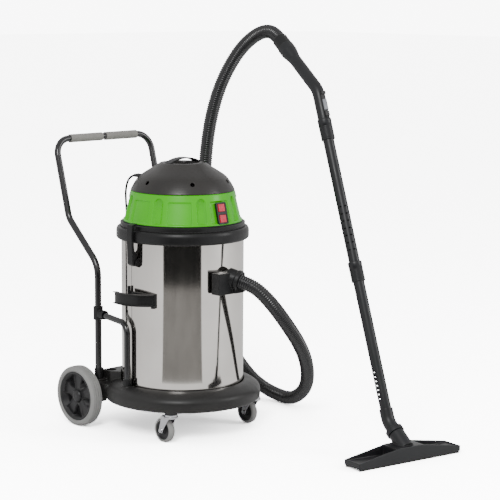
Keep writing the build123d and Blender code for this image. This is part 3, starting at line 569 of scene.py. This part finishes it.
def box_points(low, high):
    """Corners and faces of a closed box."""
    (x0, y0, z0), (x1, y1, z1) = low, high
    corners = [Vector((x, y, z)) for x in (x0, x1) for y in (y0, y1) for z in (z0, z1)]
    return corners, [(0, 1, 3, 2), (4, 6, 7, 5), (0, 4, 5, 1), (2, 3, 7, 6), (0, 2, 6, 4), (1, 5, 7, 3)]


def rod_points(start, end, r):
    """Points and faces of a closed round bar."""
    steps = 40
    way = (end - start).normalized()
    side = way.orthogonal().normalized()
    up = way.cross(side)
    angles = [2 * math.pi * k / steps for k in range(steps)]
    points = [place + r * (math.cos(a) * side + math.sin(a) * up) for place in (start, end) for a in angles]
    faces = [(k, (k + 1) % steps, steps + (k + 1) % steps, steps + k) for k in range(steps)]
    faces += [tuple(reversed(range(steps))), tuple(range(steps, 2 * steps))]
    return points, faces


def moulding(name, shapes, voxel, rounds):
    """One moulded piece from closed shapes that run into each other."""
    points, faces = [], []
    for more, more_faces in shapes:
        faces += [tuple(corner + len(points) for corner in face) for face in more_faces]
        points += more
    return settled(mesh_piece(name, points, faces), voxel, rounds, 0.5)


def make_inlet_block():
    """Block round the inlet: a square body on the drum, a socket for the hose and a plain round disc."""
    low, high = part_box("inlet_block")
    mouth, beyond = millimetres(hose_route[:2])
    out = (beyond - mouth).normalized()
    left, back = low.x + 0.001, high.y
    front = low.y + 0.027
    shapes = [
        box_points((left, front, low.z + 0.001), (low.x + 0.104, back - 0.012, low.z + 0.070)),
        box_points((left + 0.058, front - 0.012, low.z + 0.003), (low.x + 0.104, back - 0.03, low.z + 0.066)),
        rod_points(mouth - out * 0.044, mouth - out * 0.001, 0.031),
        rod_points(mouth - out * 0.014, mouth - out * 0.001, 0.0335),
    ]
    block = moulding("inlet_housing", shapes, 0.0011, 9)
    finish_piece(block, "trolley", "black_plastic", ["inlet_block"])
    to_front, disc_shift, edge_r = ((0, -1, 0), (0, 0, 1)), Vector((0.003, 0, 0.003)), 0.0005
    place = node_middle("inlet_badge") + disc_shift
    place.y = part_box("inlet_badge")[1].y
    face = [(0.0003, 0.0), (0.0105, 0.0), (0.0105, 0.0042), (0.0095, 0.005), (0.0083, 0.0046)]
    face += [(0.0003, 0.0046)]
    disc = turned("inlet_disc", rounded(face, edge_r, 2), place, to_front, 64)
    finish_piece(disc, "trolley", "green_plastic", ["inlet_badge"])
    seat = [(0.0003, -0.003), (0.0145, -0.003), (0.0145, 0.0012), (0.0135, 0.002), (0.0003, 0.002)]
    ring = turned("badge_seat", rounded(seat, edge_r, 2), place, to_front, 64)
    finish_piece(ring, "trolley", "black_plastic")


def make_softened():
    """Moulded and pressed pieces that only need their edges softened, and a few of them a little reshaped."""
    dome_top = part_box("dome")[1].z
    strap_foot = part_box("carry_strap")[0].z

    def rounder_top(point):
        """Draws the dome's shoulder in towards its top."""
        off = Vector((point.x - drum.x, point.y - drum.y, 0))
        share = smooth_step(point.z, dome_top - 0.05, dome_top) * smooth_step(off.length, 0.054, 0.07)
        return point - off * 0.17 * share

    def lower_strap(point):
        """Flattens the strap's arch."""
        return Vector((point.x, point.y, strap_foot + (point.z - strap_foot) * 0.7))

    def slimmer_latch(point):
        """Leaves a little more room between a latch and the ears on both sides of it."""
        return Vector((point.x, drum.y + (point.y - drum.y) * 0.96, point.z))

    softened("deck_moulding", "trolley_deck", "trolley", 0.0017, 8, 0.2)
    softened("dome_moulding", "dome", "head", 0.0016, 3, 0.4, rounder_top)
    softened("accessory_arm", "accessory_holder", "trolley", 0.0009, 4)
    softened("socket_collars", "tube_sockets", "trolley", 0.0009, 4)
    softened("brace_couplings", "brace_clamps", "trolley", 0.001, 5)
    softened("latch_ears", "latch_brackets", "trolley", 0.0009, 2)
    softened("strap_moulding", "carry_strap", "head", 0.0008, 4, 0.4, lower_strap)
    softened("switch_frame", "switch_bezel", "head", 0.0006, 3)
    softened("lead_relief", "strain_relief", "head", 0.0006, 3)
    softened("nozzle_body", "floor_tool", "floor_tool", 0.0012, 5, 0.45)
    softened("nozzle_elbow", "wand_elbow", "wand", 0.001, 4, 0.3)
    softened("wand_grip", "wand_handle", "wand", 0.001, 4, 0.3)
    softened("hose_swivel", "wand_cuff", "trolley", 0.001, 4, 0.3)
    for _side, word in SIDES:
        arm, lever = f"latch_arm_{word}", f"latch_lever_{word}"
        softened(arm, lever, f"latch_{word}", 0.0009, 5, reshape=slimmer_latch)
        softened(f"pressed_fork_{word}", f"caster_fork_{word}", f"caster_{word}", 0.0007, 5)
    for word in ("upper", "lower"):
        softened(f"switch_key_{word}", f"rocker_{word}", f"rocker_{word}", 0.0006, 3)


def make_shroud():
    """Green ring: arch-topped flutes with square sunk panels between them, and a lip at its foot."""
    low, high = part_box("shroud_ring")
    base_r, height = (high.x - low.x) / 2, high.z - low.z
    top_r, wall = base_r - 0.024, 0.004
    flute_half, flute_depth = 5.4, 0.0095
    panel_half, panel_depth, panel_top, arch_top = 12.0, 0.0042, 0.074, 0.084
    rows = 64
    outside = [(base_r + (top_r - base_r) * k / rows, height * k / rows) for k in range(rows + 1)]
    brim = [(top_r - wall * (1 - math.cos(a)) / 2, height) for a in (1.0, 2.0, math.pi)]
    inside = [(top_r - wall, height), (base_r - wall - 0.003, 0.0)]
    profile = outside + brim + inside

    def reach(r, along, angle, index):
        if index > rows:
            return r, along
        degrees, apart = math.degrees(angle), 45
        off = abs(degrees % apart - apart / 2)
        mid = abs((degrees + apart / 2) % apart - apart / 2)
        arch = arch_top - 0.012 * (off / flute_half) ** 2 if off < flute_half else 0
        flute = (1 - (off / flute_half) ** 2) * flute_depth if off < flute_half else 0
        flute *= 1 - smooth_step(along, arch - 0.003, arch + 0.003)
        panel = panel_depth * (1 - smooth_step(mid, panel_half - 0.5, panel_half + 0.5))
        panel *= 1 - smooth_step(along, panel_top - 0.002, panel_top + 0.002)
        lip = 0.0012 * (1 - smooth_step(along, 0.004, 0.007))
        keep = smooth_step(along, 0.004, 0.008)
        roll = 0.0035 * smooth_step(along, height - 0.004, height) ** 2
        return r - (flute + panel) * keep + lip - roll, along

    ring = turned("green_ring", profile, Vector((drum.x, drum.y, low.z)), UPRIGHT, 1080, reach)
    cut_window(ring, "switch_bezel")
    finish_piece(ring, "head", "green_plastic", ["shroud_ring"])


def cut_window(obj, node):
    """Leave the bezel's seat out of a ring's front: drop the faces well inside the bezel's outline."""
    low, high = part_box(node)
    middle_x, half_wide, margin = (low.x + high.x) / 2, (high.x - low.x) / 2, 0.003

    def in_window(place):
        beside = abs(place.x - middle_x) < half_wide - margin
        return beside and low.z + margin < place.z < high.z - margin and place.y < drum.y

    mesh = bmesh.new()
    mesh.from_mesh(obj.data)
    doomed = [face for face in mesh.faces if in_window(face.calc_center_median())]
    bmesh.ops.delete(mesh, geom=doomed, context="FACES")
    mesh.to_mesh(obj.data)
    mesh.free()


def make_collar():
    """Collar that grips the drum's rim, with rounded moulded edges."""
    low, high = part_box("tank_collar")
    r, wall_r, rim_r, rim_z = (high.x - low.x) / 2, tank_r + 0.0002, tank_r - 0.006, high.z - 0.012
    profile = rounded([
        (wall_r, low.z), (r - 0.004, low.z), (r, low.z + 0.005), (r, rim_z), (r - 0.003, high.z - 0.003),
        (r - 0.010, high.z), (rim_r, high.z), (rim_r, rim_z), (wall_r, rim_z),
    ], 0.004, 5)
    collar = turned("rim_collar", profile, drum, UPRIGHT, 256)
    finish_piece(collar, "trolley", "black_plastic", ["tank_collar"])


def make_drum():
    """Mirror-polished drum with a rounded foot, a rolled rim and the weld line up its side."""
    low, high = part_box("tank")
    wall, foot, rim, roll = 0.0012, 0.011, 0.006, 0.004
    profile = [(0.0005, low.z)]
    for k in range(9):
        angle = math.pi / 2 * k / 8
        profile.append((tank_r - foot + foot * math.sin(angle), low.z + foot - foot * math.cos(angle)))
    for share in (0.06, 0.2, 0.4, 0.6, 0.8, 0.97):
        profile.append((tank_r, low.z + foot + (high.z - low.z - foot) * share))
    profile += [(tank_r, high.z - 0.001), (tank_r - 0.001, high.z), (tank_r - rim, high.z)]
    profile += [(tank_r - rim, high.z - roll), (tank_r - wall, high.z - roll), (tank_r - wall, low.z + foot)]
    profile += [(tank_r - foot, low.z + wall), (0.0005, low.z + wall)]
    shell = turned("polished_drum", profile, drum, UPRIGHT, 256)
    finish_piece(shell, "trolley", "stainless", ["tank"])
    seam_angle, seam_half, seam_proud = math.radians(173.3), 0.0007, 0.00045
    section = ((-2 * seam_half, 0.0), (-seam_half, seam_proud), (seam_half, seam_proud), (2 * seam_half, 0.0))
    points = []
    for z in (low.z + foot, high.z - 0.03):
        for off, proud in section:
            angle, r = seam_angle + off / tank_r, tank_r + proud
            points.append(drum + Vector((r * math.cos(angle), r * math.sin(angle), z)))
    seam = mesh_piece("drum_seam", points, grid_faces(2, 4, wrap_columns=False))
    seam.data.materials.append(looks["weld_line"])
    finish_piece(seam, "trolley", "stainless")


def make_rear_wheel(side, word):
    """Grooved grey tyre, a dished black hub with five broad ribbed spokes, and a plain dust cap."""
    low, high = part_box(f"wheel_tyre_{word}")
    centre = (low + high) / 2
    r, half = (high.z - low.z) / 2, (high.x - low.x) / 2
    hub_r = r - 0.019
    turning = ((side, 0, 0), (0, 0, 1))
    tread, steps, grooves = [], 60, (-0.0135, -0.0045, 0.0045, 0.0135)
    for k in range(steps + 1):
        across = -half + 2 * half * k / steps
        shoulder = abs(across) / half
        crown = r - 0.0012 * shoulder ** 2 - 0.0085 * max(0.0, shoulder - 0.62) ** 2 / 0.38 ** 2
        groove = sum(0.0024 * math.exp(-((across - place) / 0.0012) ** 2) for place in grooves)
        tread.append((crown - groove, across))
    wall_side = [(hub_r + 0.006, half), (hub_r + 0.003, half - 0.001), (hub_r, half - 0.004)]
    wall_back = [(hub_r, -half + 0.004), (hub_r + 0.003, -half + 0.001), (hub_r + 0.006, -half)]
    tyre = turned(f"tyre_{word}", tread + wall_side + wall_back, centre, turning, 160)
    finish_piece(tyre, f"wheel_{word}", "grey_tyre", [f"wheel_tyre_{word}"])

    # The radii of the hub's rings of points, closest where its surface steps.
    rings = [0.0075, 0.012, 0.0165, 0.0178, 0.019, 0.021, 0.024, 0.027, 0.03, 0.034, 0.04, 0.046, 0.052]
    rings += [0.056, 0.059, 0.062, 0.0645, 0.0665, 0.069, 0.071, 0.0725, 0.0735, 0.0745, 0.077]
    rings += [hub_r - 0.0006]
    face, spoke_turn = half - 0.004, 72
    rim_in, boss_r, seat_r = 0.0738, 0.0172, 0.0205
    boss_depth, seat_depth, spoke_depth, pocket_depth, rib_rise = 0.004, 0.0085, 0.0125, 0.027, 0.0035

    def depth(rho, angle):
        """How far the hub's face lies inside its rim at this place."""
        if rho > rim_in:
            return 0.0
        if rho < boss_r:
            return boss_depth
        if rho < seat_r:
            return seat_depth
        off = (math.degrees(angle) + spoke_turn / 2) % spoke_turn - spoke_turn / 2
        spoke_half = 0.0165 + 0.005 * smooth_step(rho, 0.045, 0.07)
        aside = rho * abs(math.radians(off))
        web = 1 - smooth_step(aside, spoke_half - 0.0008, spoke_half + 0.0008)
        rib = smooth_step(aside, spoke_half - 0.0048, spoke_half - 0.0034) * web
        ring_web = 1 - smooth_step(rho, 0.031, 0.033)
        surface = spoke_depth - rib_rise * rib
        return pocket_depth + (surface - pocket_depth) * max(web, ring_web)

    profile = [(rho, face) for rho in rings] + [(hub_r - 0.0006, 0.006 - half), (hub_r - 0.008, 0.006 - half)]
    profile += [(hub_r - 0.009, 0.012 - half), (0.02, 0.012 - half), (0.02, 0.003 - half)]
    profile += [(0.0075, 0.003 - half)]

    def reach(rho, along, angle, index):
        if index >= len(rings):
            return rho, along
        return rho, along - depth(rho, angle)

    hub = turned(f"spoked_hub_{word}", profile, centre, turning, 300, reach)
    finish_piece(hub, f"wheel_{word}", "hub_plastic", [f"wheel_hub_{word}"])
    axle_low, axle_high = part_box("rear_axle")
    axle_end = (axle_high.x if side > 0 else axle_low.x) - centre.x
    top, foot = abs(axle_end) + 0.0012, face - 0.012
    cap = [(0.0003, top), (0.009, top), (0.0165, top - 0.0016), (0.0205, top - 0.006), (0.0205, foot)]
    cap += [(0.0185, foot), (0.0145, top - 0.0022), (0.0003, top - 0.001)]
    dust_cap = turned(f"dust_cap_{word}", rounded(cap, 0.0008, 2), centre, turning, 96)
    finish_piece(dust_cap, f"wheel_{word}", "hub_plastic")


def make_caster_wheel(side, word):
    """Small grey tyre with a rounded tread on a black dished hub."""
    low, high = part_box(f"caster_tyre_{word}")
    centre = (low + high) / 2
    r, half = (high.z - low.z) / 2, (high.x - low.x) / 2
    turning = ((side, 0, 0), (0, 0, 1))
    tread = []
    for k in range(25):
        across = -half + 2 * half * k / 24
        tread.append((r - 0.006 * (abs(across) / half) ** 3.2, across))
    tread += [(r - 0.009, half - 0.0005), (r - 0.009, -half + 0.0005)]
    tyre = turned(f"caster_tread_{word}", tread, centre, turning, 96)
    finish_piece(tyre, f"caster_wheel_{word}", "grey_tyre", [f"caster_tyre_{word}"])
    bore, face = 0.0041, half - 0.0015
    outer_half = [(r - 0.0092, face), (r - 0.0125, face), (r - 0.0145, face - 0.004), (0.0125, face - 0.005)]
    outer_half += [(0.0115, face + 0.0005), (0.009, face + 0.0015), (bore, face + 0.0015)]
    profile = outer_half + [(rho, -along) for rho, along in reversed(outer_half)]
    hub = turned(f"caster_core_{word}", rounded(profile, 0.0008, 2), centre, turning, 96)
    finish_piece(hub, f"caster_wheel_{word}", "hub_plastic", [f"caster_hub_{word}"])


# The wand's direction, and how far up it from the elbow's top the middle of the upper tube is.
WAND_WAY = Vector(joints["suction_slide"]["axis"]).normalized()
TUBE_MIDDLE = 0.6722


def up_wand(distance):
    """The place on the wand's axis a distance up from the elbow's top."""
    return node_middle("wand_tube_upper") + WAND_WAY * (distance - TUBE_MIDDLE)


def make_slotted_tube(name, node, span, slots):
    """A thin plain tube with slots through its wall.

    Each slot has its place along the wand, its angle, its height and half its width in degrees. Angle zero
    faces the machine's front left quarter.
    """
    (start, end), r, wall = span, 0.018, 0.0015
    quarter = math.radians(44)
    outward = Vector((-math.sin(quarter), -math.cos(quarter), 0))
    zero = (outward - WAND_WAY * outward.dot(WAND_WAY)).normalized()
    across = WAND_WAY.cross(zero)
    rows, steps = round((end - start) / 0.001), 108
    points = []
    for row in range(rows + 1):
        place = up_wand(start + (end - start) * row / rows)
        for step in range(steps):
            angle = 2 * math.pi * step / steps
            points.append(place + r * (math.cos(angle) * zero + math.sin(angle) * across))

    def in_a_slot(at, degrees):
        for place, facing, high, wide in slots:
            aside = (degrees - facing + 180) % 360 - 180
            if ((at - place) / high * 2) ** 4 + (aside / wide) ** 4 < 1:
                return True
        return False

    faces = []
    for face in grid_faces(rows + 1, steps):
        row, step = divmod(face[0], steps)
        at = start + (end - start) * (row + 0.5) / rows
        if not in_a_slot(at, 360 * (step + 0.5) / steps):
            faces.append(face)
    tube = mesh_piece(name, points, faces)
    solid = tube.modifiers.new("wall", "SOLIDIFY")
    solid.thickness, solid.offset = wall, -1
    thin = tube.modifiers.new("thin", "DECIMATE")
    thin.decimate_type, thin.angle_limit = "DISSOLVE", math.radians(1)
    keep_modified(tube, False)
    finish_piece(tube, "wand", "wand_plastic", [node])


def make_wand_details():
    """Ribbed sleeves, slotted tubes, and the rail of the suction slider."""
    make_sleeve("sleeve_lower", 0.408, 0.4715, 9)
    make_sleeve("sleeve_upper", 0.874, 0.9425, 10)
    slots, through, half_wide = [], [], 13
    for k in range(7):
        at = 0.51 + 0.0235 * k
        slots += [(at, -26, 0.004, half_wide), (at, 26, 0.004, half_wide)]
        near, far = 0.0345 + 0.0141 * k, 0.0308 + 0.0141 * k
        through += [(near, -43, 0.0075, half_wide), (far, -137, 0.0075, half_wide)]
    make_slotted_tube("tube_upper", "wand_tube_upper", (0.4302, 0.9142), slots)
    make_slotted_tube("tube_lower", "wand_tube_lower", (-0.023, 0.4298), through)
    make_slider_rail()


def make_sleeve(name, low, high, ribs):
    """A push-fit sleeve round a joint of the wand, ribbed for grip, with a bead at its upper end."""
    inner, outer, groove, bead, pitch, length = 0.0185, 0.0222, 0.0213, 0.0226, 0.0042, high - low
    profile = [(inner, 0.0), (0.0215, 0.0), (outer, 0.001)]
    for k in range(ribs):
        base = 0.004 + pitch * k
        profile += [(outer, base), (groove, base + 0.0006), (groove, base + 0.0014), (outer, base + 0.002)]
    profile += [(outer, length - 0.012), (bead, length - 0.010), (bead, length - 0.002), (0.0218, length)]
    profile += [(inner, length)]
    zero = WAND_WAY.orthogonal().normalized()
    sleeve = turned(name, profile, up_wand(low), (WAND_WAY, zero), 72)
    finish_piece(sleeve, "wand", "wand_plastic")


def make_slider_rail():
    """The rail that the suction slider runs on, between its two end stops."""
    foot = up_wand(0.957)
    off = node_middle("suction_slider") - node_middle("wand_tube_upper")
    outward = (off - WAND_WAY * off.dot(WAND_WAY)).normalized()
    turning = Matrix((WAND_WAY.cross(outward), outward, WAND_WAY)).transposed()
    shapes = []
    for low, high in (
        ((-0.0088, 0.0185, -0.006), (0.0088, 0.0212, 0.071)),
        ((-0.0085, 0.0185, 0.0625), (0.0085, 0.0268, 0.073)),
        ((-0.0085, 0.0185, -0.010), (0.0085, 0.0252, 0.006)),
    ):
        points, faces = box_points(low, high)
        shapes.append(([foot + turning @ point for point in points], faces))
    rail = moulding("slider_rail", shapes, 0.0006, 4)
    finish_piece(rail, "wand", "black_plastic")


make_softened()
make_inlet_block()
make_wand_details()
make_shroud()
make_collar()
make_drum()
for side, word in SIDES:
    make_rear_wheel(side, word)
    make_caster_wheel(side, word)


# ---------------------------------------------------------------- stage and lights
# How bright the camera sees the floor. The light that the object gets from it is about a tenth of that.
FLOOR_GAIN = 9.0


def add_stage():
    """A pale floor that the eye sees nearly white, with its soft shadows."""
    floor = mesh_piece("floor", [(-40, -40, 0), (40, -40, 0), (40, 40, 0), (-40, 40, 0)], [(0, 1, 2, 3)])
    material, tree, shader, place = new_material("pale_floor")
    tone = noise(tree, place, 1.5, 2)
    tree.links.new(two_tone(tree, tone, (0.9, 0.9, 0.9), (0.93, 0.93, 0.93)), shader.inputs["Base Color"])
    shader.inputs["Roughness"].default_value = 0.7
    shader.inputs["Specular IOR Level"].default_value = 0.1
    bright = tree.nodes.new("ShaderNodeBsdfDiffuse")
    bright.inputs["Color"].default_value = (FLOOR_GAIN, FLOOR_GAIN, FLOOR_GAIN, 1)
    seen, either = tree.nodes.new("ShaderNodeLightPath"), tree.nodes.new("ShaderNodeMixShader")
    tree.links.new(seen.outputs["Is Camera Ray"], either.inputs[0])
    tree.links.new(shader.outputs[0], either.inputs[1])
    tree.links.new(bright.outputs[0], either.inputs[2])
    out = next(node for node in tree.nodes if node.type == "OUTPUT_MATERIAL")
    tree.links.new(either.outputs[0], out.inputs[0])
    floor.data.materials.append(material)


def add_card(name, points, colour, faces):
    """A studio card that only reflections see: it shapes the bands in the polished drum."""
    card = mesh_piece(name, points, faces)
    material, tree, shader, place = new_material(name)
    shades = two_tone(tree, noise(tree, place, 1.2, 2), shade(colour, 0.85), shade(colour, 1.15))
    tree.links.new(shades, shader.inputs["Base Color"])
    shader.inputs["Roughness"].default_value = 0.9
    card.data.materials.append(material)
    card.visible_camera = card.visible_diffuse = card.visible_shadow = False
    card.visible_transmission = card.visible_volume_scatter = False


def add_cards():
    """A dark upright card 3 m in front of the drum, and a grey one on the floor before it. Only the drum's
    reflection sees them: the dark card paints the dark band in it, and the grey card is painted shade of the
    floor before the drum.
    """
    toward = math.radians(-90 - 44)
    near, far, tall, first, last, steps = 1.0, 3.05, 0.9, -33, 36, 24

    def place(reach, degrees, z):
        angle = toward + math.radians(degrees)
        return drum + Vector((reach * math.cos(angle), reach * math.sin(angle), z))

    turns = [first + (last - first) * k / steps for k in range(steps + 1)]
    quads = grid_faces(2, steps + 1, wrap_columns=False)
    upright = [place(far, t, z) for z in (0.0, tall) for t in turns]
    flat = [place(reach, t, 0.002) for reach in (near, far) for t in turns]
    # Painted reflection: a dark sheet that only reflections see, which makes the dark band in the polished
    # drum.
    add_card("dark_card", upright, (0.006, 0.006, 0.006), quads)
    # Painted shade: a grey sheet that only reflections see, standing for the shaded floor in front of the
    # drum.
    add_card("floor_shade_card", flat, (0.2, 0.195, 0.185), quads)


def add_world():
    """Soft white light from all round, which the camera sees about as bright as the floor."""
    world = bpy.data.worlds.new("studio")
    world.use_nodes = True
    bpy.context.scene.world = world
    tree = world.node_tree
    background = tree.nodes["Background"]
    background.inputs["Color"].default_value = (1, 1, 1, 1)
    seen = tree.nodes.new("ShaderNodeLightPath")
    level = tree.nodes.new("ShaderNodeMapRange")
    level.inputs["To Min"].default_value, level.inputs["To Max"].default_value = 0.85, 0.95 * FLOOR_GAIN
    tree.links.new(seen.outputs["Is Camera Ray"], level.inputs["Value"])
    tree.links.new(level.outputs[0], background.inputs["Strength"])


def add_light(name, place, target, size, power):
    light = bpy.data.lights.new(name, "AREA")
    light.shape, light.size, light.size_y, light.energy = "RECTANGLE", size[0], size[1], power
    lamp = bpy.data.objects.new(name, light)
    bpy.context.collection.objects.link(lamp)
    lamp.location = place
    lamp.rotation_euler = (Vector(target) - Vector(place)).to_track_quat("-Z", "Y").to_euler()


add_stage()
add_cards()
add_world()
add_light("key", (-3.2, -2.2, 3.4), (0, 0, 0.6), (1.6, 1.6), 110)
add_light("fill", (2.8, -3.6, 2.4), (0, 0, 0.6), (1.4, 2.2), 60)
